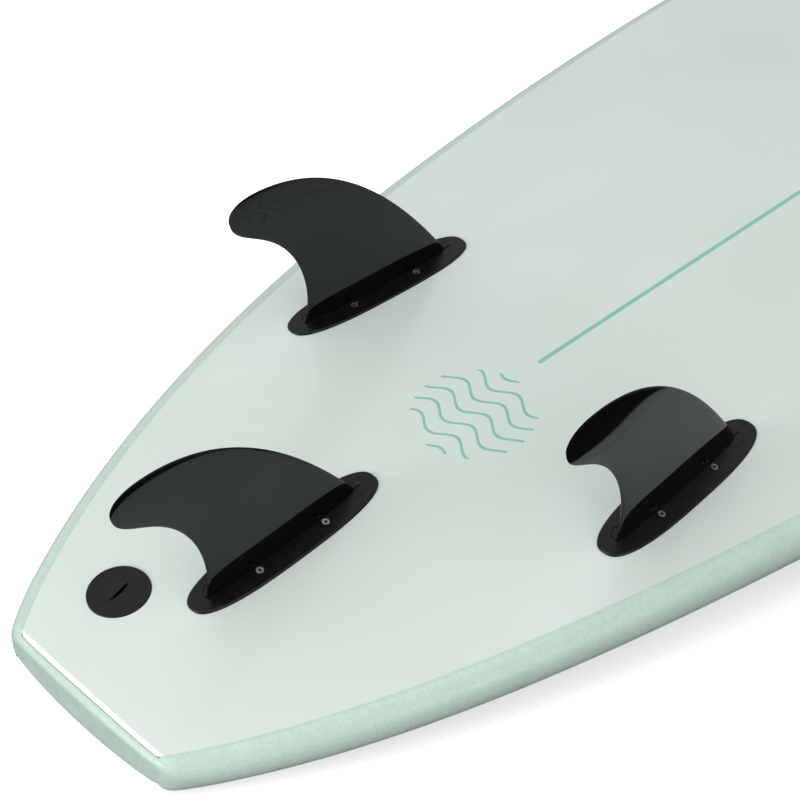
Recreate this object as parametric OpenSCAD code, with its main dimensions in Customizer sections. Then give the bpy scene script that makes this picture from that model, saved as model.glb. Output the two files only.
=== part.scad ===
// Soft foam surfboard lying deck-down, three fins up.
// Frame: +X to the right, +Y towards the nose, +Z up, out of the board's bottom.
// Origin: on the floor under the middle of the board's length, in its centre plane.
// In the functions, u is a distance from the tail end and f a share of a half-width.

/* [Board] */
// Length from tail end to nose tip
board_l = 1830; // [1750:10:1950]
// Greatest width, rail to rail
board_w = 505; // [491:2:549]
// Width of the squared-off tail end
tail_w = 151; // [147:2:163]
// Distance of the widest point from the tail end
wide_at = 846; // [820:2:880]
// Thickness at the middle of the deck
board_t = 76; // [70:1:84]
// Thickness at the tail end
tail_t = 27; // [26:1:31]
// Thickness at the nose tip
nose_t = 20; // [18:1:24]

/* [Rocker] */
// Lift of the tail end out of the flat of the bottom
tail_kick = 26.4; // [20.4:1:30.4]
// Distance from the tail end where that lift begins
tail_flat = 409; // [381:2:439]
// Lift of the nose tip out of the flat of the bottom
nose_kick = 115; // [95:1:135]
// Distance from the nose tip where that lift begins
nose_flat = 1020; // [940:10:1080]
// How far the corners of the tail end lie ahead of its middle
tail_bow = 4; // [2:0.5:5]
// Roll-off of the bottom from its centre to its edge, as a share of the half-width
crown_share = 0.049; // [0.04:0.001:0.055]

/* [Foam skins] */
// Thickness of the slick bottom sheet
slick_t = 2; // [1.5:0.5:2.5]
// Thickness of the deck's foam sheet
deck_t = 5; // [4:0.5:6]
// How far a rail bulges past the edge of the bottom sheet
rail_out = 13.8; // [12:0.2:15]
// Length of the tail block
block_l = 14; // [12:1:16]
// Thickness of the wooden stringer
stringer_t = 4; // [3:0.5:5]

/* [Fins] */
// Distance of the centre fin's trailing port from the tail end
centre_at = 102.3; // [99.3:1:107.3]
// Distance of the side fins' trailing ports from the tail end
side_at = 304.3; // [295.3:1:313.3]
// Distance of those ports from the centre plane
side_x = 140.4; // [136:0.2:144]
// Angle by which the side fins point in towards the nose
toe_in = 4.8; // [3:0.1:6]
// Height of a fin
fin_h = 123; // [115:1:128]
// Thickness of a fin at its base
fin_t = 7.2; // [6.8:0.2:8]
// Length of each tab under a fin
tab_l = 25; // [22:1:26]
// Thickness of each tab
tab_t = 5.4; // [5:0.1:5.6]
// Depth of each tab
tab_d = 13; // [11:0.5:13.5]

/* [Fin boxes] */
// Length of the oval plate
plate_l = 147; // [144:1:150]
// Width of the oval plate
plate_w = 36.5; // [35:0.5:39]
// Height of the plate above the bottom sheet
plate_rise = 1.5; // [1.2:0.1:2]
// Distance between the two ports of a box
port_gap = 110; // [108:1:112]
// Diameter of a port plug
port_d = 14; // [12:0.5:15]
// Diameter of a grub screw
grub_d = 4.9; // [4.5:0.1:5.1]
// Slant of a grub screw towards its tab
grub_slant = 15; // [12:1:16]

/* [Leash plug] */
// Distance of the plug from the tail end
leash_at = 64.3; // [62.3:1:68.3]
// Distance of the plug to the left of the centre plane
leash_x = 44; // [42:1:46]
// Diameter of the screw disc in the bottom
disc_d = 40; // [38:1:41]
// Diameter of the cup's flange on the deck
cup_d = 38; // [36:1:40]
// Diameter of the bar that the leash string ties to
bar_d = 4; // [3.5:0.5:5]

/* [Hidden] */
$fn = 48;

past = 5;                           // how far a cut runs past a face
glue = 0.15;                        // bond line between glued pieces
seat = 0.3;                         // room round a piece let into foam
run = 0.05;                         // radial clearance of a turning fit
mint = [0.72, 0.82, 0.77];
pale_mint = [0.82, 0.87, 0.84];
black = [0.08, 0.08, 0.09];

// ---- Lines of the board ----
tail_share = 0.73;                  // share of the square term in the tail's outline
tail_late = 0.205;                  // share of the steep term that draws in its corners
tail_power = 7.8;                   // power of that term
nose_full = 2.5;                    // fullness of the nose's outline
nose_sharp = 0.75;                  // sharpness of its tip
nose_cut = 6;                       // the tip is cut this far short of the outline's point
crown_turn = 138;                   // degrees of cosine across half the bottom
tail_late_t = 0.66;                 // how late the board comes to its full thickness from the tail
nose_late_t = 1.15;                 // and from the nose
dome_h = 25.5;                      // dome of the deck across its widest point
dome_least = 1.3;                   // added to the dome everywhere
rail_tuck = 17.4;                   // width of the rail's lower curve
tuck_least = 0.35;                  // share of that width left at the tail end
tuck_in = 40;                       // distance over which it comes to its full width
bow_in = 40;                        // distance over which the tail's bow dies out
core_share = 0.93;                  // width of the core within the rails
block_lap = 2;                      // the tail block's underside stops this far inside the rail's
nose_top = nose_kick + nose_t;      // height of the bottom at the nose tip

function clamp01(t) = max(0, min(1, t));
function tail_line(t) = tail_share * t * t + (1 - tail_share - tail_late) * pow(t, 4)
    + tail_late * pow(t, tail_power);
function nose_line(s) = pow(1 - pow(s, nose_full), nose_sharp);
function half_w(u) = u < wide_at
    ? board_w / 2 - (board_w - tail_w) / 2 * tail_line(1 - u / wide_at)
    : board_w / 2 * nose_line((u - wide_at) / (board_l + nose_cut - wide_at));
function seam_w(u) = half_w(u) - min(rail_out, 0.3 * half_w(u));
function tuck(u) = rail_tuck * (tuck_least + (1 - tuck_least) * clamp01(u / tuck_in));
function deck_w(u) = half_w(u) - min(tuck(u), 0.4 * half_w(u));
function core_w(u) = core_share * min(deck_w(u), seam_w(u));
function block_w(u) = deck_w(u) - block_lap;
function thin(u) = tail_t + (nose_t - tail_t) * u / board_l;
function thick(u) = thin(u) + (board_t - thin(u))
    * pow(max(0, sin(180 * u / board_l)), u < board_l / 2 ? tail_late_t : nose_late_t);
function kick(u) = tail_kick * pow(clamp01(1 - u / tail_flat), 2);
// The board rests on its nose tip and on the lowest point of the deck near its tail
tail_z = max([for (u = [0 : 2 : tail_flat])
    (kick(u) + thick(u) - nose_top * u / board_l) / (1 - u / board_l)]);
slope = (nose_top - tail_z) / board_l;
function base_z(u) = tail_z + slope * u - kick(u)
    - nose_kick * pow(clamp01(1 - (board_l - u) / nose_flat), 2);
function crown(u, f) = crown_share * seam_w(u) * (1 - cos(crown_turn * f)) / 2;
function bottom_z(u, f) = base_z(u) - crown(u, f);
function dome(u) = dome_least + dome_h * pow(deck_w(u) / deck_w(wide_at), 2);
function edge_z(u) = base_z(u) - thick(u) + dome(u);
function rail_h(u) = bottom_z(u, 1) - edge_z(u);
function deck_z(u, f) = edge_z(u) - dome(u) * (1 - f * f);
function y_of(u) = u - board_l / 2;

// ---- Lofts: a stack of cross-sections, each a closed ring of [x, z] points ----
n_bottom = 8;                       // steps across half the bottom
n_curve = 6;                        // steps round a quarter of the rail
n_deck = 6;                         // steps across half the deck
n_long = 36;                        // steps along the board
core_end = board_l - 60;            // the core stops short of the tip
bunch = 1.3;                        // how much closer the steps are at the tail
function steps(n) = [for (i = [0 : n]) i / n];
function both(n) = [for (i = [-n : n]) i / n];
function bow(x, u) = tail_bow * pow(2 * x / tail_w * clamp01(1 - u / bow_in), 2);
function ring3(ring, u) = [for (p = ring) [p[0], y_of(u) + bow(p[0], u), p[1]]];

module loft(rings) {
    n = len(rings[0]);
    m = len(rings);
    sides = [for (j = [0 : m - 2], i = [0 : n - 1])
        let (k = (i + 1) % n, a = j * n, b = a + n)
        each [[a + k, a + i, b + k], [b + k, a + i, b + i]]];
    // Each end is closed by strips across the ring, because a bowed ring isn't flat
    first = [for (i = [0 : ceil(n / 2) - 2]) let (j = n - 1 - i)
        each j - 1 > i + 1 ? [[i, i + 1, j - 1], [i, j - 1, j]] : [[i, i + 1, j]]];
    last = [for (f = first) [for (v = f) (m - 1) * n + v]];
    turned = [for (f = last) [f[2], f[1], f[0]]];
    polyhedron([for (r = rings) each r], concat(sides, first, turned), convexity = 6);
}

// ---- Tail end: the rails and the block between them are rounded over ----
end_round = 4;                      // rounding of the tail face's upper and lower edges
corner_round = 0.55 * rail_out;     // rounding of the tail corners in plan
slick_end = 4.3;                    // distance of the bottom sheet's edge from the tail end
bevel_l = 2.6;                      // strip where the bottom sheet rolls over at the tail
bevel_h = 1.1;                      // how far it rolls down
block_lift = 2;                     // the block's ends stop this far above the rails' underside
lift_power = 12;                    // how sharply its underside rises there
rabbet = 0.4;                       // distance over which a rebate steps in
end_us = [0, 0.3, 0.9, 1.8, slick_end - rabbet];
edge_us = [slick_end, 5.4, slick_end + bevel_l, 9.5, block_l];
board_us = [for (i = [0 : n_long])
    block_l + 2 * rabbet + (board_l - block_l - 2 * rabbet) * sin(90 * pow(i / n_long, bunch))];
sheet_us = concat(edge_us, board_us);
rail_us = concat(end_us, edge_us, board_us);
function fillet(r, u) = u >= r ? 0 : r - sqrt(r * r - pow(r - u, 2));
function bevel(u) = bevel_h * clamp01(1 - (u - slick_end) / bevel_l);
function under_sheet(u) = u < slick_end ? bevel(u) : slick_t + glue;
function squeeze(ring, u) =
    let (mid = bottom_z(u, 1) - rail_h(u) / 2, k = 1 - 2 * fillet(end_round, u) / rail_h(u))
    [for (p = ring) [p[0], mid + (p[1] - mid) * k]];

// ---- Board pieces ----
// Slick plastic sheet over the whole bottom
function slick_ring(u) = concat(
    [for (f = both(n_bottom)) [f * seam_w(u), bottom_z(u, f) - bevel(u)]],
    [for (f = both(n_bottom)) [-f * seam_w(u), bottom_z(u, f) - slick_t]]);
module slick_bottom() {
    color(pale_mint)
    difference() {
        loft([for (u = sheet_us) ring3(slick_ring(u), u)]);
        pockets();
        disc_pocket();
    }
}

// Foam sheet on the deck, between the rails
function deck_ring(u) = concat(
    [for (f = both(n_deck)) [f * deck_w(u), deck_z(u, f) + deck_t]],
    [for (f = both(n_deck)) [-f * deck_w(u), deck_z(u, f)]]);
// It is laid in two pieces: a short one at the tail, round the leash cup, and a long one
join_at = 3;                        // step along the board where the two pieces meet
deck_us = [for (i = [join_at : n_long]) board_us[i] + (i == join_at ? seat : 0)];
module deck_tail() {
    color(mint)
    difference() {
        loft([for (i = [0 : join_at]) ring3(deck_ring(board_us[i]), board_us[i])]);
        cup_pocket();
    }
}
module deck_skin() {
    color(mint) loft([for (u = deck_us) ring3(deck_ring(u), u)]);
}

// One half of the foam core, between the stringer and the rail
function core_x(u, s) = let (x0 = stringer_t / 2 + glue) x0 + s * (core_w(u) - x0);
function core_ring(u) = concat(
    [for (s = steps(n_bottom)) let (x = core_x(u, s))
        [x, bottom_z(u, x / seam_w(u)) - slick_t - seat]],
    [for (s = steps(n_deck)) let (x = core_x(u, 1 - s))
        [x, deck_z(u, x / deck_w(u)) + deck_t + seat]]);
module core_half() {
    loft([for (u = board_us) if (u < core_end) ring3(core_ring(u), u)]);
}
module core_right() {
    color("white")
    difference() {
        core_half();
        pockets();
    }
}
module core_left() {
    color("white")
    difference() {
        mirror([1, 0, 0]) core_half();
        pockets();
        disc_pocket();
        cup_pocket();
    }
}

// Plywood strip on edge down the centre, cut away under the centre fin box
module stringer() {
    n = 40;
    reach = [block_l + 2, core_end - 20];
    us = [for (s = steps(n)) reach[0] + (reach[1] - reach[0]) * s];
    top = [for (u = us) [y_of(u), base_z(u) - slick_t - 2 * seat]];
    low = [for (i = [0 : n]) let (u = us[n - i]) [y_of(u), deck_z(u, 0) + deck_t + 2 * seat]];
    color("burlywood")
    difference() {
        rotate([90, 0, 90]) linear_extrude(stringer_t, center = true) polygon(concat(top, low));
        pockets();
    }
}

// Foam strip round one side, rebated for the bottom sheet and the deck sheet.
// Its outer curve runs from the seam out to the widest point and in under the deck.
function rail_curve(u) =
    let (z = bottom_z(u, 1), h = rail_h(u) / 2, a = half_w(u) - seam_w(u), c = half_w(u) - deck_w(u))
    concat(
        [for (s = steps(n_curve))
            [half_w(u) - a * (1 - sin(90 * s)), z - h * (1 - cos(90 * s)) - bevel(u) * (1 - s)]],
        [for (i = [1 : n_curve]) let (s = i / n_curve)
            [half_w(u) - c * (1 - cos(90 * s)), z - h * (1 + sin(90 * s))]]);
function block_edge(u) = deck_z(u, block_w(u) / deck_w(u)) + block_lift;
function nipped(x, s, u) = x <= s ? x : s + (x - s) * (1 - fillet(corner_round, u) / (half_w(u) - s));
// Under the bottom sheet the rail stops short of the seam, and at the tail it stops at the block
function rail_inner(u) =
    let (w = core_w(u) + glue, d = deck_w(u) + glue, b = block_w(u) + glue)
    u > block_l ? [[d, edge_z(u) + deck_t + glue], [w, deck_z(u, w / d) + deck_t + seat]]
        : [[(nipped(d, b, u) + b) / 2, edge_z(u)], [b, block_edge(u)]];
function rail_ring(u) =
    let (w = core_w(u) + glue, s = seam_w(u) + glue, d = deck_w(u) + glue, b = block_w(u) + glue,
        shelf = s - (u < slick_end ? rabbet : 0), mid = bottom_z(u, 1) - rail_h(u) / 2)
    squeeze(concat(
        [[w, bottom_z(u, w / s) - under_sheet(u)], [shelf, bottom_z(u, 1) - under_sheet(u)]],
        [for (p = rail_curve(u)) let (upper = p[1] > mid)
            [nipped(max(p[0], upper ? s : d), upper ? s : b, u), p[1]]],
        rail_inner(u)), u);
module rail_right() {
    color(mint) loft([for (u = rail_us) ring3(rail_ring(u), u)]);
}
module rail_left() {
    mirror([1, 0, 0]) rail_right();
}

// Foam block across the tail end, between the rails
function block_ring(u) = squeeze(concat(
    [for (f = both(n_bottom)) let (x = f * core_w(u)) [x, bottom_z(u, x / seam_w(u)) - under_sheet(u)]],
    [for (f = both(n_bottom)) let (x = f * block_w(u))
        [-x, deck_z(u, x / deck_w(u)) + block_lift * pow(abs(f), lift_power)]]), u);
module tail_block() {
    color(mint) loft([for (u = concat(end_us, edge_us)) ring3(block_ring(u), u)]);
}

// ---- Fin boxes ----
// A box has its own frame: origin on its plate's top, over the trailing port,
// +Y towards the leading port, and +Z square to the bottom along the board.
mid_port = port_gap / 2;
tabs_at = [29.5, 82.5];             // middle of each tab, and of each grub screw
grub_x = 7;                         // a grub screw's distance from the fin's plane
grub_sink = 1;                      // its head below the plate's top
grub_l = 8.5;                       // its length, with its point
grub_cone = 4;                      // length of that point
grub_tip = 1;                       // radius of the point's end
barrel_h = 20;                      // depth of the barrels under the plate
barrel_r = 15.5;                    // their radius
plate_full = 2.6;                   // fullness of the oval plate
plug_h = 2.5;                       // height of a port plug
socket_gap = 0.35;                  // room round a tab
function box_u(side) = side == 0 ? centre_at : side_at;
function surface_z(x, u) = bottom_z(u, abs(x) / seam_w(u));
function port_x(side, t) = abs(side) * (side_x - t * sin(toe_in));
function port_u(side, t) = box_u(side) + t * cos(toe_in * side);
function port_z(side, t) = surface_z(port_x(side, t), port_u(side, t));
function pitch_of(side) = asin((port_z(side, port_gap) - port_z(side, 0)) / port_gap);
function tilt_of(side) =
    let (x = port_x(side, mid_port), u = port_u(side, mid_port), a = plate_w / 2)
    side * atan((surface_z(x - a, u) - surface_z(x + a, u)) / plate_w);
module box_frame(side) {
    translate([side * side_x, y_of(box_u(side)), port_z(side, 0) + plate_rise])
        rotate([0, 0, toe_in * side]) rotate([pitch_of(side), 0, 0]) children();
}
module tilted(side) {
    rotate([0, tilt_of(side), 0]) children();
}
module each_port() {
    for (t = [0, port_gap])
        translate([0, t, 0]) children();
}

function oval(a, b, p, n) = [for (i = [0 : n - 1]) let (c = cos(360 * i / n), s = sin(360 * i / n))
    [a * sign(c) * pow(abs(c), 2 / p), b * sign(s) * pow(abs(s), 2 / p)]];
module plate_shape(inset) {
    translate([0, mid_port]) polygon(oval(plate_w / 2 - inset, plate_l / 2 - inset, plate_full, 72));
}
module stadium(l, w) {
    square([w, l - w], center = true);
    for (e = [-1, 1])
        translate([0, e * (l - w) / 2]) circle(d = w);
}
module pocket(side) {
    box_frame(side) {
        tilted(side) translate([0, 0, -plate_rise - slick_t - seat])
            linear_extrude(plate_rise + slick_t + past) plate_shape(-seat);
        for (t = tabs_at)
            translate([0, t, -barrel_h - seat]) cylinder(r = barrel_r + seat, h = barrel_h);
    }
}
module pockets() {
    for (side = [-1 : 1])
        pocket(side);
}
module grub_axis(t) {
    translate([grub_x, t, 0]) rotate([0, grub_slant, 0]) children();
}
module fin_box(side) {
    step = 0.5;                     // the plate's rounded edge, in two steps
    full_h = plate_rise + slick_t;
    color(black)
    box_frame(side)
    difference() {
        union() {
            tilted(side) {
                translate([0, 0, -full_h]) linear_extrude(full_h - 2 * step) plate_shape(0);
                translate([0, 0, -3 * step]) linear_extrude(2 * step) plate_shape(step / 2);
                translate([0, 0, -2 * step]) linear_extrude(2 * step) plate_shape(2 * step);
            }
            for (t = tabs_at)
                translate([0, t, -barrel_h]) cylinder(r = barrel_r, h = barrel_h - full_h + step);
        }
        for (t = tabs_at) {
            translate([0, t, -tab_d - 1]) linear_extrude(tab_d + past)
                stadium(tab_l + 2 * socket_gap, tab_t + 2 * socket_gap);
            grub_axis(t) translate([0, 0, -grub_l - 2]) cylinder(d = grub_d + 2 * run, h = grub_l + past);
        }
        tilted(side) each_port() translate([0, 0, -plug_h])
            cylinder(d = port_d + 2 * glue, h = plug_h + past);
    }
}
module fin_box_left() { fin_box(-1); }
module fin_box_centre() { fin_box(0); }
module fin_box_right() { fin_box(1); }

// Two slotted plugs that close the ports at the ends of a box
module port_plugs(side) {
    slot_w = 1.3;
    slot_d = 0.8;
    sink = 0.2;
    color(black)
    box_frame(side) tilted(side) each_port()
    difference() {
        translate([0, 0, -plug_h]) cylinder(d = port_d, h = plug_h - sink);
        translate([-slot_w / 2, -port_d, -sink - slot_d]) cube([slot_w, 2 * port_d, past]);
    }
}
module port_plugs_left() { port_plugs(-1); }
module port_plugs_centre() { port_plugs(0); }
module port_plugs_right() { port_plugs(1); }

// Grub screw with a conical point and a hexagon socket
module grub(side, t) {
    hex_d = 2.4;
    hex_h = 2;
    color("silver")
    box_frame(side) grub_axis(t) translate([0, 0, -grub_sink - grub_l])
    difference() {
        rotate_extrude()
            polygon([[0, 0], [grub_tip, 0], [grub_d / 2, grub_cone], [grub_d / 2, grub_l], [0, grub_l]]);
        translate([0, 0, grub_l - hex_h]) cylinder(d = hex_d, h = past, $fn = 6);
    }
}
module grub_left_rear() { grub(-1, tabs_at[0]); }
module grub_left_front() { grub(-1, tabs_at[1]); }
module grub_centre_rear() { grub(0, tabs_at[0]); }
module grub_centre_front() { grub(0, tabs_at[1]); }
module grub_right_rear() { grub(1, tabs_at[0]); }
module grub_right_front() { grub(1, tabs_at[1]); }

// ---- Fins ----
// A fin is a stack of foil sections from base to tip. Its leading edge, crest and trailing
// edge are Bezier curves in the fin's plane, [y, z] as shares of the fin's height.
lead_edge = [[0.911, 0], [0.654, 0.437], [0.263, 0.984], [-0.269, 1]];
crest = [[-0.269, 1], [-0.384, 1.004], [-0.464, 0.968], [-0.464, 0.901]];
trail_edge = [[-0.051, 0], [0.042, 0.311], [-0.108, 0.54], [-0.17, 0.755],
              [-0.464, 0.677], [-0.464, 0.901]];
crest_from = 0.8;                   // where the leading edge passes into the crest
n_fin = 22;                         // sections up a fin
n_foil = 10;                        // steps along each face of a section
foil_full = 0.45;                   // fullness of the foil
fin_taper = 0.9;                    // how evenly a fin thins towards its tip
fin_gap = 0.5;                      // the fin's base above its plate
fin_end = 0.985;                    // last section, just short of the tip
edge_t = 0.5;                       // least thickness of a fin
tab_top = 0.3;                      // how far a tab runs up into its fin
function bezier(p, t) = len(p) == 1 ? p[0]
    : bezier([for (i = [1 : len(p) - 1]) p[i - 1] + (p[i] - p[i - 1]) * t], t);
function lead_at(t) = fin_h * (t < crest_from ? bezier(lead_edge, t / crest_from)
    : bezier(crest, (t - crest_from) / (1 - crest_from)));
function trail_at(t) = fin_h * bezier(trail_edge, t);
// Share of the half-thickness along the chord: a full foil with rounded edges
function foil(s) = pow(4 * s * (1 - s), foil_full);
function fin_ring(t) =
    let (a = lead_at(t), b = trail_at(t), k = (fin_t - edge_t) / 2 * pow(1 - t, fin_taper) + edge_t / 2)
    [for (face = [-1, 1], i = [0 : n_foil - 1])
        let (c = (1 - cos(180 * i / n_foil)) / 2, s = face < 0 ? c : 1 - c, p = a + (b - a) * s)
        [face * k * foil(s), p[0], p[1] + fin_gap]];
module fin(side) {
    color(black)
    box_frame(side) {
        loft([for (s = steps(n_fin)) fin_ring(fin_end * s)]);
        for (t = tabs_at)
            translate([0, t, -tab_d]) linear_extrude(tab_d + fin_gap + tab_top) stadium(tab_l, tab_t);
    }
}
module fin_left() { fin(-1); }
module fin_centre() { fin(0); }
module fin_right() { fin(1); }

// ---- Leash plug, right through the board ----
disc_h = 3.5;                       // thickness of the screw disc
disc_rise = 1.2;                    // its top above the bottom sheet
disc_step = 0.6;                    // its chamfer
stem_d = 8;                         // threaded stem under the disc
boss_d = 14;                        // boss of the cup that takes the stem
bowl_d = 27;                        // inside of the cup
bowl_h = 14;                        // depth of the cup
wall = 2;                           // wall of the cup
bar_drop = 5;                       // bar's depth inside the cup's mouth
coin_l = 19.5;                      // coin slot in the disc
coin_w = 2.4;
coin_h = 1.4;
coin_turn = 9;
leash_f = leash_x / seam_w(leash_at);
leash_pitch = atan(base_z(leash_at + 1) - base_z(leash_at));
leash_t = bottom_z(leash_at, leash_f) - deck_z(leash_at, leash_x / deck_w(leash_at));
boss_in = 1;                        // the boss starts this far inside the bowl's end wall
stem_l = leash_t - bowl_h - wall - boss_in + disc_rise - disc_h;
cup_u = leash_at + leash_t * sin(leash_pitch);
deck_f = leash_x / deck_w(cup_u);
deck_pitch = atan(deck_z(cup_u + 1, leash_x / deck_w(cup_u + 1)) - deck_z(cup_u, deck_f));
deck_roll = atan(deck_z(cup_u, deck_f) - deck_z(cup_u, (leash_x - 1) / deck_w(cup_u)));
module leash_frame() {
    translate([-leash_x, y_of(leash_at), bottom_z(leash_at, leash_f)])
        rotate([leash_pitch, 0, 0]) children();
}
// The cup's frame: origin on the deck under the disc, +Z into the board, square to the deck
module cup_frame() {
    translate([-leash_x, y_of(cup_u), deck_z(cup_u, deck_f)])
        rotate([deck_pitch, deck_roll, 0]) children();
}
module disc_pocket() {
    leash_frame() translate([0, 0, disc_rise - disc_h - seat])
        cylinder(d = disc_d + 2 * seat, h = disc_h + past);
}
module cup_pocket() {
    cup_frame() translate([0, 0, -past]) {
        cylinder(d = cup_d + 2 * seat, h = past + wall + seat);
        cylinder(d = bowl_d + 2 * wall + 2 * seat, h = past + bowl_h + wall + seat);
    }
    leash_frame() translate([0, 0, bowl_h - leash_t]) cylinder(d = boss_d + 2 * seat, h = leash_t - bowl_h);
}
module bar_axis() {
    translate([0, 0, bar_drop]) rotate([0, 90, 0]) children();
}
module leash_cup() {
    color(black)
    difference() {
        union() {
            cup_frame() cylinder(d = cup_d, h = wall);
            cup_frame() cylinder(d = bowl_d + 2 * wall, h = bowl_h + wall);
            leash_frame() translate([0, 0, bowl_h + boss_in - leash_t])
                cylinder(d = boss_d, h = leash_t - bowl_h - boss_in + disc_rise - disc_h - seat);
        }
        cup_frame() translate([0, 0, -past]) cylinder(d = bowl_d, h = bowl_h + past);
        leash_frame() translate([0, 0, bowl_h - wall - leash_t])
            cylinder(d = stem_d + 2 * run, h = 2 * leash_t);
        cup_frame() bar_axis() cylinder(d = bar_d, h = bowl_d + wall, center = true);
    }
}
module leash_bar() {
    color("silver")
    cup_frame() bar_axis() cylinder(d = bar_d, h = bowl_d + wall, center = true);
}
module leash_disc() {
    color(black)
    leash_frame() translate([0, 0, disc_rise])
    difference() {
        union() {
            translate([0, 0, -disc_h]) cylinder(d = disc_d, h = disc_h - disc_step);
            translate([0, 0, -disc_step]) cylinder(d1 = disc_d, d2 = disc_d - 2 * disc_step, h = disc_step);
            translate([0, 0, -disc_h - stem_l]) cylinder(d = stem_d, h = stem_l + disc_step);
        }
        rotate([0, 0, coin_turn]) translate([-coin_w / 2, -coin_l / 2, -coin_h]) cube([coin_w, coin_l, past]);
    }
}

core_left();
core_right();
stringer();
deck_skin();
deck_tail();
slick_bottom();
rail_left();
rail_right();
tail_block();
fin_box_left();
fin_box_centre();
fin_box_right();
port_plugs_left();
port_plugs_centre();
port_plugs_right();
fin_left();
fin_centre();
fin_right();
grub_left_rear();
grub_left_front();
grub_centre_rear();
grub_centre_front();
grub_right_rear();
grub_right_front();
leash_cup();
leash_bar();
leash_disc();
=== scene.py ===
import math

import bmesh
import bpy
import numpy as np
from mathutils import Matrix, Vector


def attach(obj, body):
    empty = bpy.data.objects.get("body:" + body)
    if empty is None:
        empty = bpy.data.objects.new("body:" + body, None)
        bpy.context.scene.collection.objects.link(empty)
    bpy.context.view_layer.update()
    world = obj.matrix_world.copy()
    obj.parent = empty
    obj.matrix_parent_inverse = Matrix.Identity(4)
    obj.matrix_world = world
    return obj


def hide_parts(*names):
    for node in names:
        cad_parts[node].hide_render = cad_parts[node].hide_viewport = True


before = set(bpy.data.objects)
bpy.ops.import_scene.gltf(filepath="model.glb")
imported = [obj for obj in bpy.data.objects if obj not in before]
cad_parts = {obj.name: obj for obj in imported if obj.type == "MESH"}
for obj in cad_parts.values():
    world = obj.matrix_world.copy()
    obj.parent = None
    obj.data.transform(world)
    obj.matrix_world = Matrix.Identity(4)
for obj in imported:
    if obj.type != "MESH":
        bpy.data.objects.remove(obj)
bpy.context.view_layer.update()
scene = bpy.context.scene
MM = 0.001

# ---- Sizes, in millimetres, as in the CAD part ----
# the board: outline, thickness, rocker and tail end
board_l, board_w, tail_w, wide_at = 1830, 505, 151, 846
tail_share, tail_late, tail_power = 0.73, 0.205, 7.8
nose_full, nose_sharp, nose_cut = 2.5, 0.75, 6
board_t, tail_t, nose_t = 76, 27, 20
tail_late_t, nose_late_t = 0.66, 1.15
tail_kick, tail_flat, nose_kick, nose_flat = 26.4, 409, 115, 1020
nose_top = nose_kick + nose_t
tail_bow, bow_in, end_round = 4, 40, 4
crown_share, crown_turn, dome_h, dome_least = 0.049, 138, 25.5, 1.3

# its layers and the gaps between them
slick_t, deck_t, block_l, block_lap = 2, 5, 14, 2
glue, seat, run, hair = 0.15, 0.3, 0.05, 0.02
rail_out, rail_tuck, tuck_least, tuck_in, core_share = 13.8, 17.4, 0.35, 40, 0.93
corner_round = 0.55 * rail_out
slick_end, bevel_l, bevel_h, rabbet, sheet_round = 4.3, 2.6, 1.1, 0.4, 2.5
block_lift, lift_power = 2, 12

# fins and fin boxes
centre_at, side_at, side_x, toe_in = 102.3, 304.3, 140.4, 4.8
fin_h, fin_t, tab_l, tab_t, tab_d, tab_top = 123, 7.2, 25, 5.4, 13, 0.3
tabs_at, fin_gap, socket_gap = (29.5, 82.5), 0.5, 0.35
plate_l, plate_w, plate_rise, plate_full, plate_round = 147, 36.5, 1.5, 2.6, 1.3
port_gap, port_d, plug_h = 110, 14, 2.5
mid_port = port_gap / 2
barrel_h, barrel_r = 20, 15.5
grub_x, grub_d, grub_l, grub_slant = 7, 4.9, 8.5, 15

# leash plug
leash_at, leash_x, disc_d, disc_h, disc_rise, disc_round = 64.3, 44, 40, 3.5, 1.2, 0.9
stem_d, stem_edge = 8, 0.6
cup_d, bowl_d, bowl_h, wall, boss_in = 38, 27, 14, 2, 1
coin_l, coin_w, coin_h, coin_turn, coin_bow = 19.5, 2.4, 1.4, 9, 1.1

# cutters: how far they stand clear of what they cut, and the smallest radius of a turned piece
clear, least_r = 5, 0.001


# ---- Lines of the board; u is the distance from the tail end ----
def clamp01(t):
    return max(0.0, min(1.0, t))


def half_w(u):
    if u < wide_at:
        t = 1 - u / wide_at
        return board_w / 2 - (board_w - tail_w) / 2 * (
            tail_share * t * t + (1 - tail_share - tail_late) * t ** 4 + tail_late * t ** tail_power)
    s = (u - wide_at) / (board_l + nose_cut - wide_at)
    return board_w / 2 * (1 - s ** nose_full) ** nose_sharp


def seam_w(u):
    return half_w(u) - min(rail_out, 0.3 * half_w(u))


def deck_w(u):
    tuck = rail_tuck * (tuck_least + (1 - tuck_least) * clamp01(u / tuck_in))
    return half_w(u) - min(tuck, 0.4 * half_w(u))


def core_w(u):
    return core_share * min(deck_w(u), seam_w(u))


def block_w(u):
    return deck_w(u) - block_lap


def thin(u):
    return tail_t + (nose_t - tail_t) * u / board_l


def thick(u):
    late = tail_late_t if u < board_l / 2 else nose_late_t
    return thin(u) + (board_t - thin(u)) * max(0.0, math.sin(math.pi * u / board_l)) ** late


def kick(u):
    return tail_kick * clamp01(1 - u / tail_flat) ** 2


def tail_z_for(u):
    """Height of the tail end when the deck touches the floor at u and at the nose tip."""
    return (kick(u) + thick(u) - nose_top * u / board_l) / (1 - u / board_l)


tail_z = max(tail_z_for(u) for u in range(0, tail_flat + 1, 2))
slope = (nose_top - tail_z) / board_l


def base_z(u):
    return tail_z + slope * u - kick(u) - nose_kick * clamp01(1 - (board_l - u) / nose_flat) ** 2


def bottom_z(u, f):
    """Height of the bottom at the share f of the way from the centre to the sheet's edge."""
    return base_z(u) - crown_share * seam_w(u) * (1 - math.cos(math.radians(crown_turn * f))) / 2


def dome(u):
    return dome_least + dome_h * (deck_w(u) / deck_w(wide_at)) ** 2


def edge_z(u):
    return base_z(u) - thick(u) + dome(u)


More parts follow.
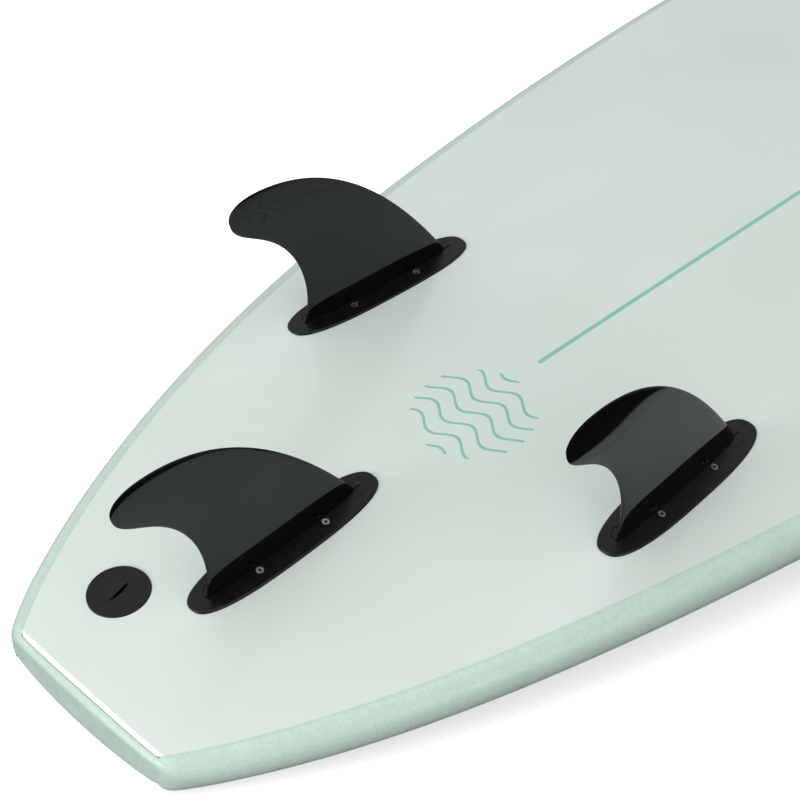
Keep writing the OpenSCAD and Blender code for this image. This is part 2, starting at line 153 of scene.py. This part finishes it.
def rail_h(u):
    return bottom_z(u, 1) - edge_z(u)


def deck_z(u, f):
    """Height of the deck at the share f of the way from the centre to its edge."""
    return edge_z(u) - dome(u) * (1 - f * f)


def y_of(u):
    return u - board_l / 2


def at(x, u, z):
    """A point of the board, with the bow of its tail end."""
    return x, y_of(u) + tail_bow * (2 * x / tail_w * clamp01(1 - u / bow_in)) ** 2, z


def fillet(r, u):
    """How far an edge rounded by r lies back, at the distance u from the end."""
    return 0.0 if u >= r else r - math.sqrt(r * r - (r - u) ** 2)


def bevel(u):
    return bevel_h * clamp01(1 - (u - slick_end) / bevel_l)


def sheet_w(u):
    """Half-width of the bottom sheet, with its rounded tail corners."""
    return seam_w(u) - fillet(sheet_round, max(0.0, u - slick_end))


def under_sheet(u):
    return bevel(u) if u < slick_end else slick_t + glue


def squeeze(ring, u):
    """The ring with its height drawn in, where the tail end's edges are rounded."""
    mid = bottom_z(u, 1) - rail_h(u) / 2
    k = 1 - 2 * fillet(end_round, u) / rail_h(u)
    return [(x, mid + (z - mid) * k) for x, z in ring]


# ---- Frames of the fin boxes and of the leash plug ----
def box_u(side):
    return centre_at if side == 0 else side_at


def surface_z(x, u):
    return bottom_z(u, abs(x) / seam_w(u))


def port_x(side, t):
    return abs(side) * (side_x - t * math.sin(math.radians(toe_in)))


def port_u(side, t):
    return box_u(side) + t * math.cos(math.radians(toe_in * side))


def port_z(side, t):
    return surface_z(port_x(side, t), port_u(side, t))


def turn(axis, angle):
    return Matrix.Rotation(angle, 4, axis)


def box_matrix(side):
    pitch = math.asin((port_z(side, port_gap) - port_z(side, 0)) / port_gap)
    place = Vector((side * side_x, y_of(box_u(side)), port_z(side, 0) + plate_rise))
    return Matrix.Translation(place) @ turn("Z", math.radians(toe_in * side)) @ turn("X", pitch)


def tilt(side):
    x, u, a = port_x(side, mid_port), port_u(side, mid_port), plate_w / 2
    return turn("Y", side * math.atan((surface_z(x - a, u) - surface_z(x + a, u)) / plate_w))


leash_f = leash_x / seam_w(leash_at)
leash_m = (Matrix.Translation((-leash_x, y_of(leash_at), bottom_z(leash_at, leash_f)))
           @ turn("X", math.atan(base_z(leash_at + 1) - base_z(leash_at))))
leash_t = bottom_z(leash_at, leash_f) - deck_z(leash_at, leash_x / deck_w(leash_at))
stem_l = leash_t - bowl_h - wall - boss_in + disc_rise - disc_h
cup_u = leash_at + leash_t * math.sin(math.atan(base_z(leash_at + 1) - base_z(leash_at)))
deck_here = deck_z(cup_u, leash_x / deck_w(cup_u))
cup_place = (Matrix.Translation((-leash_x, y_of(cup_u), deck_here))
             @ turn("Y", math.atan(deck_here - deck_z(cup_u, (leash_x - 1) / deck_w(cup_u))))
             @ turn("X", math.atan(deck_z(cup_u + 1, leash_x / deck_w(cup_u + 1)) - deck_here)))


# ---- Mesh tools ----
def mesh_object(name, verts, faces, matrix=None):
    """An object from points in millimetres, placed by a matrix in millimetres."""
    v = np.array([tuple(p) for p in verts], float)
    if matrix is not None:
        m = np.array(matrix)
        v = v @ m[:3, :3].T + m[:3, 3]
    mesh = bpy.data.meshes.new(name)
    mesh.from_pydata((v * MM).tolist(), [], faces)
    bm = bmesh.new()
    bm.from_mesh(mesh)
    bmesh.ops.recalc_face_normals(bm, faces=bm.faces)
    bm.to_mesh(mesh)
    bm.free()
    obj = bpy.data.objects.new(name, mesh)
    scene.collection.objects.link(obj)
    return obj


def loft(name, rings, matrix=None):
    """A solid through rings of points, closed at both ends."""
    n, m = len(rings[0]), len(rings)
    verts = [p for r in rings for p in r]
    faces = []
    for j in range(m - 1):
        for i in range(n):
            k = (i + 1) % n
            faces.append((j * n + i, j * n + k, (j + 1) * n + k, (j + 1) * n + i))
    # strips across the ring close each end, because a bowed ring isn't flat
    for first in (0, (m - 1) * n):
        for i in range((n + 1) // 2 - 1):
            j = n - 1 - i
            strip = (i, i + 1, j - 1, j) if j - 1 > i + 1 else (i, i + 1, j)
            faces.append(tuple(first + k for k in strip))
    return mesh_object(name, verts, faces, matrix)


def apply_modifiers(obj):
    bpy.context.view_layer.update()
    done = bpy.data.meshes.new_from_object(obj.evaluated_get(bpy.context.evaluated_depsgraph_get()))
    old = obj.data
    obj.modifiers.clear()
    obj.data = done
    bpy.data.meshes.remove(old)


def combine(base, cutters, operation):
    for c in cutters:
        mod = base.modifiers.new("cut", "BOOLEAN")
        mod.operation, mod.object, mod.solver = operation, c, "EXACT"
        apply_modifiers(base)
        bpy.data.objects.remove(c)


def smooth(obj, angle):
    mesh = obj.data
    mesh.shade_smooth()
    mesh.set_sharp_from_angle(angle=math.radians(angle))
    mod = obj.modifiers.new("normals", "WEIGHTED_NORMAL")
    mod.keep_sharp = True
    mod.weight = 60
    apply_modifiers(obj)


def round_about(n):
    """The angles of n points round a full circle."""
    return [2 * math.pi * i / n for i in range(n)]


def oval(a, b, power, n):
    """A superellipse of n points with the half-axes a and b."""
    def full(c):
        return math.copysign(abs(c) ** (2 / power), c)
    return [(full(math.cos(t)) * a, full(math.sin(t)) * b) for t in round_about(n)]


def turned(name, profile, matrix, n=96):
    """A solid of revolution about Z from (radius, height) points."""
    rings = []
    for radius, z in profile:
        r = max(radius, least_r)
        rings.append([(r * math.cos(t), r * math.sin(t), z) for t in round_about(n)])
    return loft(name, rings, matrix)


def rounded_edge(r):
    """The inset and height along a quarter circle, from a piece's side to its top face."""
    angles = [math.radians(10 * i) for i in range(10)]
    return [(r * (1 - math.cos(a)), -r * (1 - math.sin(a))) for a in angles]


def stadium_prism(name, length, width, z0, z1, matrix, n=16):
    """An upright prism with straight sides and half-round ends, long along Y."""
    r, e = width / 2, (length - width) / 2
    ring = [(r * math.cos(math.pi * i / n), e + r * math.sin(math.pi * i / n)) for i in range(n + 1)]
    ring += [(-x, -y) for x, y in ring]
    return loft(name, [[(x, y, z) for x, y in ring] for z in (z0, z1)], matrix)


# ---- Node tools for the materials ----
def srgb(r, g, b):
    """A linear colour from sRGB values of 0 to 255."""
    linear = [((c / 255 + 0.055) / 1.055) ** 2.4 if c > 10 else c / 255 / 12.92 for c in (r, g, b)]
    return (*linear, 1.0)


class Nodes:
    """A material and short calls for its nodes, all placed by object coordinates."""
    def __init__(self, name):
        self.material = bpy.data.materials.new(name)
        self.material.use_nodes = True
        self.tree = self.material.node_tree
        self.shader = self.tree.nodes["Principled BSDF"]
        self.place = self.tree.nodes.new("ShaderNodeTexCoord").outputs["Object"]

    def link(self, a, b):
        self.tree.links.new(a, b)

    def put(self, socket, value):
        if isinstance(value, (int, float, tuple)):
            socket.default_value = value
        else:
            self.link(value, socket)

    def math(self, operation, a, b=0.0):
        node = self.tree.nodes.new("ShaderNodeMath")
        node.operation = operation
        for socket, value in zip(node.inputs, (a, b)):
            self.put(socket, value)
        return node.outputs[0]

    def xy(self):
        node = self.tree.nodes.new("ShaderNodeSeparateXYZ")
        self.link(self.place, node.inputs[0])
        return node.outputs["X"], node.outputs["Y"]

    def noise(self, scale, detail, roughness=0.5, stretch=None):
        node = self.tree.nodes.new("ShaderNodeTexNoise")
        node.inputs["Scale"].default_value = scale
        node.inputs["Detail"].default_value = detail
        node.inputs["Roughness"].default_value = roughness
        source = self.place
        if stretch:
            mapping = self.tree.nodes.new("ShaderNodeMapping")
            mapping.inputs["Scale"].default_value = stretch
            self.link(source, mapping.inputs["Vector"])
            source = mapping.outputs[0]
        self.link(source, node.inputs["Vector"])
        return node.outputs[0]

    def cells(self, scale, feature="F1"):
        node = self.tree.nodes.new("ShaderNodeTexVoronoi")
        node.feature = feature
        node.inputs["Scale"].default_value = scale
        self.link(self.place, node.inputs["Vector"])
        return node.outputs["Distance"]

    def ramp(self, value, low, high, a=0.0, b=1.0):
        node = self.tree.nodes.new("ShaderNodeMapRange")
        node.interpolation_type = "SMOOTHSTEP"
        self.link(value, node.inputs["Value"])
        for name, v in (("From Min", low), ("From Max", high), ("To Min", a), ("To Max", b)):
            node.inputs[name].default_value = v
        return node.outputs[0]

    def mix(self, factor, a, b):
        node = self.tree.nodes.new("ShaderNodeMix")
        node.data_type = "RGBA"
        self.put(node.inputs["Factor"], factor)
        self.put(node.inputs["A"], a)
        self.put(node.inputs["B"], b)
        return node.outputs["Result"]

    def bump(self, height, strength, distance, after=None):
        node = self.tree.nodes.new("ShaderNodeBump")
        node.inputs["Strength"].default_value = strength
        node.inputs["Distance"].default_value = distance
        self.link(height, node.inputs["Height"])
        if after is not None:
            self.link(after, node.inputs["Normal"])
        return node.outputs[0]

    def finish(self, color, roughness, normal=None, **fixed):
        self.put(self.shader.inputs["Base Color"], color)
        self.put(self.shader.inputs["Roughness"], roughness)
        if normal is not None:
            self.link(normal, self.shader.inputs["Normal"])
        for name, value in fixed.items():
            self.shader.inputs[name.replace("_", " ")].default_value = value
        return self.material


# ---- Materials ----
SLICK, SLICK_DEEP = srgb(209, 222, 215), srgb(204, 218, 210)
FOAM, FOAM_DEEP, FOAM_PALE = srgb(181, 203, 191), srgb(176, 199, 186), srgb(198, 216, 206)
# the third colour on the next line is a painted reflection: the near-white of the bright backdrop mirrored
# in the tail's bevel
FOAM_SPECK, INK, PAINTED_REFLECTION = srgb(120, 138, 128), srgb(128, 188, 174), srgb(238, 239, 233)
line_half, line_from, line_start, ink_edge = 1.6 * MM, 374, 1.2, 0.15 * MM
wave_x, wave_y, wave_r = 4 * MM, y_of(312) * MM, 41 * MM
wave_pitch, wave_length, wave_rise, wave_half = 13.5 * MM, 34 * MM, 4.2 * MM, 1.15 * MM


def pinline(m, x, y):
    """A line down the centre, ahead of the fins."""
    line = m.ramp(m.math("ABSOLUTE", x), line_half - ink_edge, line_half + ink_edge, 1, 0)
    return m.math("MULTIPLY", line, m.ramp(y, y_of(line_from) * MM, y_of(line_from + line_start) * MM))


def waves(m, x, y):
    """A round patch of wave lines."""
    dx, dy = m.math("SUBTRACT", x, wave_x), m.math("SUBTRACT", y, wave_y)
    swell = m.math("MULTIPLY", m.math("SINE", m.math("MULTIPLY", dx, 2 * math.pi / wave_length)), wave_rise)
    row = m.math("DIVIDE", m.math("SUBTRACT", dy, swell), wave_pitch)
    off = m.math("MULTIPLY", m.math("ABSOLUTE", m.math("SUBTRACT", row, m.math("ROUND", row))), wave_pitch)
    wave = m.ramp(off, wave_half - ink_edge, wave_half + ink_edge, 1, 0)
    away = m.math("SQRT", m.math("ADD", m.math("MULTIPLY", dx, dx), m.math("MULTIPLY", dy, dy)))
    return m.math("MULTIPLY", wave, m.ramp(away, wave_r - 0.4 * MM, wave_r, 1, 0))


def painted_bevel_reflection(m, x, y):
    """A painted reflection: the strip along the bowed tail end, painted near-white where the bevel would
    mirror the bright backdrop.
    """
    strip_u = slick_end + bevel_l
    bend = tail_bow * (2 / tail_w * (1 - strip_u / bow_in)) ** 2 / MM
    straight = m.math("SUBTRACT", y, m.math("MULTIPLY", m.math("MULTIPLY", x, x), bend))
    return m.ramp(straight, y_of(strip_u - 0.3) * MM, y_of(strip_u + 0.2) * MM, 1, 0)


def slick_material():
    """The sheet, cloudy on a large scale, with its ink and a painted near-white reflection on the bevel at
    its tail end.
    """
    m = Nodes("slick_sheet")
    x, y = m.xy()
    ink = m.math("MAXIMUM", pinline(m, x, y), waves(m, x, y))
    ink = m.math("MULTIPLY", ink, m.ramp(m.noise(900, 2), 0.2, 0.45, 0.86, 1.0))
    cloud = m.ramp(m.noise(5, 3), 0.35, 0.65)
    base = m.mix(cloud, SLICK, SLICK_DEEP)
    base = m.mix(ink, base, INK)
    # painted reflection: the bevel at the tail end is coloured near-white, standing in for the bright
    # backdrop mirrored there
    base = m.mix(painted_bevel_reflection(m, x, y), base, PAINTED_REFLECTION)
    rough = m.ramp(m.noise(14, 4), 0.3, 0.7, 0.2, 0.27)
    orange = m.bump(m.noise(160, 2), 0.06, 0.4 * MM)
    return m.finish(base, rough, orange, Coat_Weight=0.25, Coat_Roughness=0.12, IOR=1.48)


def foam_material(name, grain=1.0):
    m = Nodes(name)
    fleck = m.ramp(m.cells(420), 0.15, 0.75)
    blotch = m.ramp(m.noise(52, 5, 0.6), 0.3, 0.7)
    base = m.mix(blotch, FOAM, FOAM_DEEP)
    base = m.mix(m.math("MULTIPLY", fleck, 0.35), base, FOAM_PALE)
    speck = m.ramp(m.cells(75), 0.02, 0.035, 1, 0)
    base = m.mix(m.math("MULTIPLY", speck, m.ramp(m.noise(9, 2), 0.62, 0.66)), base, FOAM_SPECK)
    fine = m.bump(m.noise(700, 3, 0.6), 0.30 * grain, 0.25 * MM)
    coarse = m.bump(m.noise(95, 4, 0.55), 0.35 * grain, 0.8 * MM, fine)
    rough = m.ramp(m.noise(240, 3), 0.3, 0.7, 0.30, 0.50)
    return m.finish(base, rough, coarse, Coat_Weight=0.12, Coat_Roughness=0.3)


def black_plastic(name, tone, rough, grain):
    m = Nodes(name)
    wear = m.ramp(m.noise(120, 4, 0.6), 0.4, 0.75)
    base = m.mix(wear, srgb(tone, tone + 1, tone), srgb(tone + 8, tone + 10, tone + 9))
    r = m.ramp(m.noise(300, 3), 0.3, 0.7, rough - 0.05, rough + 0.06)
    return m.finish(base, r, m.bump(m.noise(900, 2), grain, 0.12 * MM), IOR=1.36)


def fin_material():
    m = Nodes("fin_plastic")
    haze = m.ramp(m.noise(16, 4, 0.6, (1, 0.5, 1.6)), 0.35, 0.7)
    base = m.mix(haze, srgb(3, 6, 4), srgb(7, 11, 8))
    scratch = m.ramp(m.noise(220, 3, 0.6, (1, 0.06, 1)), 0.62, 0.8)
    r = m.math("ADD", m.ramp(haze, 0, 1, 0.035, 0.07), m.math("MULTIPLY", scratch, 0.04))
    ripple = m.bump(m.noise(11, 2, 0.4), 0.12, 1.0 * MM)
    return m.finish(base, r, ripple, IOR=1.42)


def steel_material():
    m = Nodes("screw_steel")
    turned_marks = m.ramp(m.noise(700, 2, 0.5, (1, 1, 8)), 0.3, 0.7, 0.22, 0.4)
    base = m.mix(m.ramp(m.noise(180, 3), 0.4, 0.7), srgb(120, 121, 123), srgb(84, 85, 87))
    return m.finish(base, turned_marks, m.bump(m.noise(800, 2), 0.1, 0.05 * MM), Metallic=1.0)


def wood_material():
    m = Nodes("stringer_wood")
    grain = m.ramp(m.noise(60, 5, 0.6, (1, 0.04, 1)), 0.3, 0.7)
    base = m.mix(grain, srgb(205, 170, 122), srgb(160, 120, 78))
    return m.finish(base, 0.65, m.bump(grain, 0.2, 0.3 * MM))


def core_material():
    m = Nodes("core_foam")
    beads = m.cells(260, "DISTANCE_TO_EDGE")
    base = m.mix(m.ramp(beads, 0.0, 0.12), srgb(226, 226, 221), srgb(243, 243, 239))
    return m.finish(base, 0.85, m.bump(beads, 0.4, 0.6 * MM))


slick_m, rail_m, deck_m = slick_material(), foam_material("foam_rail"), foam_material("foam_deck", 1.5)
plate_m, plug_m = black_plastic("box_nylon", 6, 0.36, 0.10), black_plastic("plug_nylon", 5, 0.34, 0.08)
disc_m, cup_m = black_plastic("disc_nylon", 8, 0.42, 0.12), black_plastic("cup_nylon", 26, 0.42, 0.12)
fin_m, steel_m, wood_m, core_m = fin_material(), steel_material(), wood_material(), core_material()


def dress(obj, material):
    obj.data.materials.clear()
    obj.data.materials.append(material)


def settle(obj, material, body, nodes, angle):
    """The last step of every new piece."""
    smooth(obj, angle)
    dress(obj, material)
    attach(obj, body)
    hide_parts(*nodes)


# ---- Board ----
def long_steps(start, n):
    """Distances from the tail end, closer together towards it."""
    return [start + (board_l - start) * math.sin(math.pi / 2 * (i / n) ** 1.3) for i in range(n + 1)]


def both(n):
    return [i / n for i in range(-n, n + 1)]


end_us = [corner_round * (1 - math.cos(math.pi / 2 * i / 14)) for i in range(15)]
end_us = [u for u in end_us if u < slick_end - rabbet] + [slick_end - rabbet]
edge_us = [slick_end + d for d in (0, 0.25, 0.6, 1.1, 1.7, 2.3, bevel_l, 4, 6, 8)] + [block_l]
board_from = block_l + 2 * rabbet
board_us = long_steps(board_from, 260)
deck_steps, join_at, join_clear = 36, 3, 1
deck_join = long_steps(board_from, deck_steps)[join_at]     # where the deck sheet's two pieces meet
holes_from, holes_to, hole_inset = 20, 450, 4.5
plate_in = {side: (box_matrix(side) @ tilt(side)).inverted() for side in (-1, 0, 1)}
leash_in = leash_m.inverted()


def under_plate(x, y):
    """Whether the sheet is cut away here, out of sight under a box's plate or the leash disc."""
    here = Vector((x, y, surface_z(x, y + board_l / 2)))
    a, b = plate_w / 2 - hole_inset, plate_l / 2 - hole_inset
    for inverse in plate_in.values():
        p = inverse @ here
        if abs(p.x / a) ** plate_full + abs((p.y - mid_port) / b) ** plate_full < 1:
            return True
    p = leash_in @ here
    return math.hypot(p.x, p.y) < disc_d / 2 - hole_inset


def make_slick():
    us = edge_us + board_us
    fs = both(64)
    verts = [at(f * sheet_w(u), u, bottom_z(u, abs(f)) - bevel(u)) for u in us for f in fs]
    n = len(fs)
    hidden = [y_of(holes_from) < v[1] < y_of(holes_to) and under_plate(v[0], v[1]) for v in verts]
    faces = []
    for j in range(len(us) - 1):
        for i in range(n - 1):
            q = (j * n + i, j * n + i + 1, (j + 1) * n + i + 1, (j + 1) * n + i)
            if not all(hidden[k] for k in q):
                faces.append(q)
    obj = mesh_object("slick_sheet", verts, faces)
    bm = bmesh.new()
    bm.from_mesh(obj.data)
    bmesh.ops.delete(bm, geom=[v for v in bm.verts if not v.link_faces], context="VERTS")
    if sum(f.normal.z for f in bm.faces) < 0:
        bmesh.ops.reverse_faces(bm, faces=bm.faces)
    bm.to_mesh(obj.data)
    bm.free()
    mod = obj.modifiers.new("thickness", "SOLIDIFY")
    mod.thickness, mod.offset = slick_t * MM, -1
    apply_modifiers(obj)
    settle(obj, slick_m, "board", ["slick_bottom"], 40)


def rail_curve(u, n=18):
    """The rail's outer curve, from the bottom sheet's edge round to the deck's."""
    z, h = bottom_z(u, 1), rail_h(u) / 2
    a, c = half_w(u) - seam_w(u), half_w(u) - deck_w(u)
    points = []
    for i in range(n + 1):
        s = math.radians(90 * i / n)
        x = half_w(u) - a * (1 - math.sin(s))
        points.append((x, z - h * (1 - math.cos(s)) - bevel(u) * (1 - i / n)))
    for i in range(1, n + 1):
        s = math.radians(90 * i / n)
        points.append((half_w(u) - c * (1 - math.cos(s)), z - h * (1 + math.sin(s))))
    return points


def nipped(x, s, u):
    """x drawn in towards s, where the tail's corners are rounded in plan."""
    return x if x <= s else s + (x - s) * (1 - fillet(corner_round, u) / (half_w(u) - s))


def rail_ring(u):
    w, s, d, b = core_w(u) + hair, sheet_w(u) + glue / 3, deck_w(u) + glue / 3, block_w(u) + hair
    shelf = s - (rabbet if u < slick_end else 0)
    mid = bottom_z(u, 1) - rail_h(u) / 2
    ring = [(w, bottom_z(u, w / seam_w(u)) - under_sheet(u)), (shelf, bottom_z(u, 1) - under_sheet(u))]
    for x, z in rail_curve(u):
        least, seam = (s, seam_w(u)) if z > mid else (d, b)
        ring.append((nipped(max(x, least), seam, u), z))
    if u > block_l:
        ring += [(d, edge_z(u) + deck_t + glue), (w, deck_z(u, w / d) + deck_t + seat)]
    else:
        ring += [((nipped(d, b, u) + b) / 2, edge_z(u))]
        ring += [(b, deck_z(u, block_w(u) / deck_w(u)) + block_lift)]
    return squeeze(ring, u)


def make_rail(side, name):
    rings = [[at(side * x, u, z) for x, z in rail_ring(u)] for u in end_us + edge_us + board_us]
    settle(loft("foam_" + name, rings), rail_m, "board", [name], 34)


def make_block():
    def ring(u):
        c, b = core_w(u), block_w(u)
        top = [(f * c, bottom_z(u, abs(f) * c / seam_w(u)) - under_sheet(u)) for f in both(24)]
        low = [(f * b, deck_z(u, f * b / deck_w(u)) + block_lift * abs(f) ** lift_power) for f in both(24)]
        return squeeze(top + low[::-1], u)
    rings = [[at(x, u, z) for x, z in ring(u)] for u in end_us + edge_us]
    settle(loft("foam_tail_block", rings), rail_m, "board", ["tail_block"], 34)


def make_deck():
    """The deck sheet's two pieces, which meet ahead of the leash cup."""
    flange, bowl = cup_d / 2 + seat, bowl_d / 2 + wall + seat
    tail = [u for u in board_us if u < deck_join - join_clear] + [deck_join]
    rest = [deck_join + seat] + [u for u in board_us if u > deck_join + join_clear]
    for name, us in (("deck_tail", tail), ("deck_skin", rest)):
        rings = []
        for u in us:
            inner = [at(f * deck_w(u), u, deck_z(u, f) + deck_t) for f in both(30)]
            outer = [at(-f * deck_w(u), u, deck_z(u, f)) for f in both(30)]
            rings.append(inner + outer)
        obj = loft("foam_" + name, rings)
        if name == "deck_tail":
            profile = [(flange, -clear), (flange, wall + seat), (bowl, wall + seat), (bowl, bowl_h + wall)]
            combine(obj, [turned("cup_cut", profile, cup_place)], "DIFFERENCE")
        settle(obj, deck_m, "board", [name], 40)


# ---- Fin boxes ----
def hole(name, r, mouth, heights, matrix, n):
    """A cutter for a round hole of radius r, which widens to mouth between the two upper heights."""
    low, edge, rim = heights
    return turned(name, [(r, low), (r, edge), (mouth, rim), (mouth, clear)], matrix, n)


def box_cuts(place, flat):
    """The tabs' sockets with the slanted screw holes beside them, then the ports at the ends."""
    cuts = []
    for t in tabs_at:
        here = place @ Matrix.Translation((0, t, 0))
        length, width = tab_l + 2 * socket_gap, tab_t + 2 * socket_gap
        cuts.append(stadium_prism("socket", length, width, -tab_d - 1, clear, here))
        slanted = place @ Matrix.Translation((grub_x, t, 0)) @ turn("Y", math.radians(grub_slant))
        r = grub_d / 2
        cuts.append(hole("grub_hole", r + run, r + 0.5, (-grub_l - 2, -0.55, 0.1), slanted, 40))
    for t in (0, port_gap):
        here = flat @ Matrix.Translation((0, t, 0))
        r = port_d / 2 + glue
        cuts.append(hole("port", r, r + 0.35, (-plug_h, -0.3, 0.05), here, 64))
    return cuts


def make_box(side, name):
    """An oval plate let into the sheet and proud of it, with two barrels in the foam under it."""
    place = box_matrix(side)
    flat = place @ tilt(side)
    low = -plate_rise - slick_t
    rings = []
    for inset, z in [(0, low)] + rounded_edge(plate_round):
        outline = oval(plate_w / 2 - inset, plate_l / 2 - inset, plate_full, 160)
        rings.append([(x, y + mid_port, z) for x, y in outline])
    obj = loft("box_" + name, rings, flat)
    barrel = [(barrel_r, -barrel_h), (barrel_r, low + 0.5)]
    barrels = [turned("barrel", barrel, place @ Matrix.Translation((0, t, 0)), 64) for t in tabs_at]
    combine(obj, barrels, "UNION")
    combine(obj, box_cuts(place, flat), "DIFFERENCE")
    settle(obj, plate_m, "board", [name], 30)


# ---- Fins ----
# Bezier points (distance ahead of the rear port, height), as shares of fin_h
lead_edge = ((0.911, 0), (0.654, 0.437), (0.263, 0.984), (-0.269, 1))
crest = ((-0.269, 1), (-0.384, 1.004), (-0.464, 0.968), (-0.464, 0.901))
trail_edge = ((-0.051, 0), (0.042, 0.311), (-0.108, 0.54), (-0.17, 0.755), (-0.464, 0.677), (-0.464, 0.901))
crest_from, edge_t, foil_full, fin_taper = 0.8, 0.5, 0.45, 0.9
fin_steps, fin_ease, fin_end = 90, 1.25, 0.995


def bezier(p, t):
    """The point at t of the curve with these control points, in millimetres."""
    while len(p) > 1:
        p = [[a + (b - a) * t for a, b in zip(p[i], p[i + 1])] for i in range(len(p) - 1)]
    return [fin_h * c for c in p[0]]


def fin_ring(t, n=30):
    """The foil's outline at the share t of the way from the base to the tip."""
    if t < crest_from:
        a = bezier(lead_edge, t / crest_from)
    else:
        a = bezier(crest, (t - crest_from) / (1 - crest_from))
    b = bezier(trail_edge, t)
    k = (fin_t - edge_t) / 2 * (1 - t) ** fin_taper + edge_t / 2
    ring = []
    for face in (-1, 1):
        for i in range(n):
            c = (1 - math.cos(math.pi * i / n)) / 2
            s = c if face < 0 else 1 - c
            half = k * (4 * s * (1 - s)) ** foil_full
            ring.append((face * half, a[0] + (b[0] - a[0]) * s, a[1] + (b[1] - a[1]) * s + fin_gap))
    return ring


def make_fin(side, name):
    place = box_matrix(side)
    ts = [fin_end * (1 - (1 - i / fin_steps) ** fin_ease) for i in range(fin_steps + 1)]
    obj = loft("blade_" + name, [fin_ring(t) for t in ts], place)
    tabs = []
    for t in tabs_at:
        here = place @ Matrix.Translation((0, t, 0))
        tabs.append(stadium_prism("tab", tab_l, tab_t, -tab_d, fin_gap + tab_top, here))
    combine(obj, tabs, "UNION")
    settle(obj, fin_m, name, [name], 50)


# ---- Leash disc with its curved coin slot ----
def coin_ring(n=32):
    """The slot's outline: curved, pointed at both ends and widest in the middle."""
    def point(s, half):
        return coin_bow * (1 - s * s) + half * (1 - s * s), coin_l / 2 * s
    shares = [-1 + 2 * i / n for i in range(n + 1)]
    return [point(s, coin_w / 2) for s in shares] + [point(s, -coin_w / 2) for s in shares[-2:0:-1]]


def make_disc():
    """The disc and its stem, turned as one, with the slot cut into the top."""
    stem_r, top, low = stem_d / 2, disc_d / 2, -disc_h - stem_l
    profile = [(0, low), (stem_r - stem_edge, low), (stem_r, low + stem_edge)]
    profile += [(stem_r, -disc_h), (top, -disc_h)]
    profile += [(top - inset, z) for inset, z in rounded_edge(disc_round)]
    profile += [(top * 0.55, 0.12), (0, 0.16)]      # a slightly domed face
    place = leash_m @ Matrix.Translation((0, 0, disc_rise))
    obj = turned("disc_leash", profile, place, 160)
    slot = [[(x, y, z) for x, y in coin_ring()] for z in (-coin_h, 3)]
    combine(obj, [loft("coin", slot, place @ turn("Z", math.radians(coin_turn)))], "DIFFERENCE")
    settle(obj, disc_m, "leash_disc", ["leash_disc"], 30)


make_slick()
make_rail(-1, "rail_left")
make_rail(1, "rail_right")
make_block()
make_deck()
for side, where in ((-1, "left"), (0, "centre"), (1, "right")):
    make_box(side, "fin_box_" + where)
    make_fin(side, "fin_" + where)
make_disc()

# pieces that keep the CAD's own shape, by how their names start
plain = {"grub": steel_m, "leash_bar": steel_m, "port_plugs": plug_m, "core": core_m, "stringer": wood_m,
         "leash_cup": cup_m}
for node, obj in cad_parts.items():
    for start, material in plain.items():
        if node.startswith(start):
            dress(obj, material)

# ---- Camera ----
cam = bpy.data.objects.new("camera", bpy.data.cameras.new("camera"))
scene.collection.objects.link(cam)
scene.camera = cam
cam.data.lens, cam.data.sensor_width, cam.data.clip_end = 108.3, 36, 50
eye, aim = Vector((0.8053, -1.4361, 1.0574)), Vector((-0.0360, -0.6293, 0.0677))
ahead = (aim - eye).normalized()
right = ahead.cross(Vector((0, 0, 1))).normalized()
up = right.cross(ahead)
roll = math.radians(1.126)
right, up = right * math.cos(roll) + up * math.sin(roll), up * math.cos(roll) - right * math.sin(roll)
cam.matrix_world = Matrix.Translation(eye) @ Matrix((right, up, -ahead)).transposed().to_4x4()

# ---- Floor, light and world ----
floor_half = 9000
corners = [(x * floor_half, y * floor_half, 0) for x, y in ((-1, -1), (1, -1), (1, 1), (-1, 1))]
floor = mesh_object("floor", corners, [(0, 1, 2, 3)])
white = Nodes("floor_white")
white.finish(white.mix(white.noise(2, 2), (0.90, 0.90, 0.90, 1), (0.92, 0.92, 0.92, 1)), 0.9,
             Emission_Color=(1, 1, 1, 1), Emission_Strength=0.5)
dress(floor, white.material)
floor.visible_glossy = floor.visible_diffuse = floor.visible_shadow = False


def area_light(name, place, target, size, power):
    data = bpy.data.lights.new(name, "AREA")
    data.shape, data.size, data.energy = "DISK", size, power
    lamp = bpy.data.objects.new(name, data)
    scene.collection.objects.link(lamp)
    lamp.location = place
    lamp.rotation_euler = (Vector(target) - Vector(place)).to_track_quat("-Z", "Y").to_euler()


area_light("over_tail", (0.05, -0.8, 1.15), (0.02, -0.8, 0), 0.8, 2.4)
area_light("behind_tail", (-0.3, -2.6, 0.55), (0, -0.9, 0.03), 1.2, 19)
area_light("right_side", (2.3, -0.9, 0.5), (0.2, -0.6, 0.03), 1.2, 9)

world = bpy.data.worlds.new("studio")
scene.world = world
world.use_nodes = True
wt = world.node_tree
sky = wt.nodes["Background"]
coords = wt.nodes.new("ShaderNodeTexCoord")
split = wt.nodes.new("ShaderNodeSeparateXYZ")
wt.links.new(coords.outputs["Generated"], split.inputs[0])


def world_ramp(axis, low, high, a, b):
    fade = wt.nodes.new("ShaderNodeMapRange")
    for name, v in (("From Min", low), ("From Max", high), ("To Min", a), ("To Max", b)):
        fade.inputs[name].default_value = v
    wt.links.new(split.outputs[axis], fade.inputs["Value"])
    return fade.outputs[0]


# bright above, dim below, and a little brighter from the tail's side
both_ways = wt.nodes.new("ShaderNodeMath")
both_ways.operation = "MULTIPLY"
wt.links.new(world_ramp("Z", -0.5, 0.05, 0.03, 0.75), both_ways.inputs[0])
wt.links.new(world_ramp("Y", -1, 1, 1.15, 0.85), both_ways.inputs[1])
wt.links.new(both_ways.outputs[0], sky.inputs["Strength"])
sky.inputs["Color"].default_value = (1, 1, 1, 1)
scene.view_settings.view_transform = "Standard"
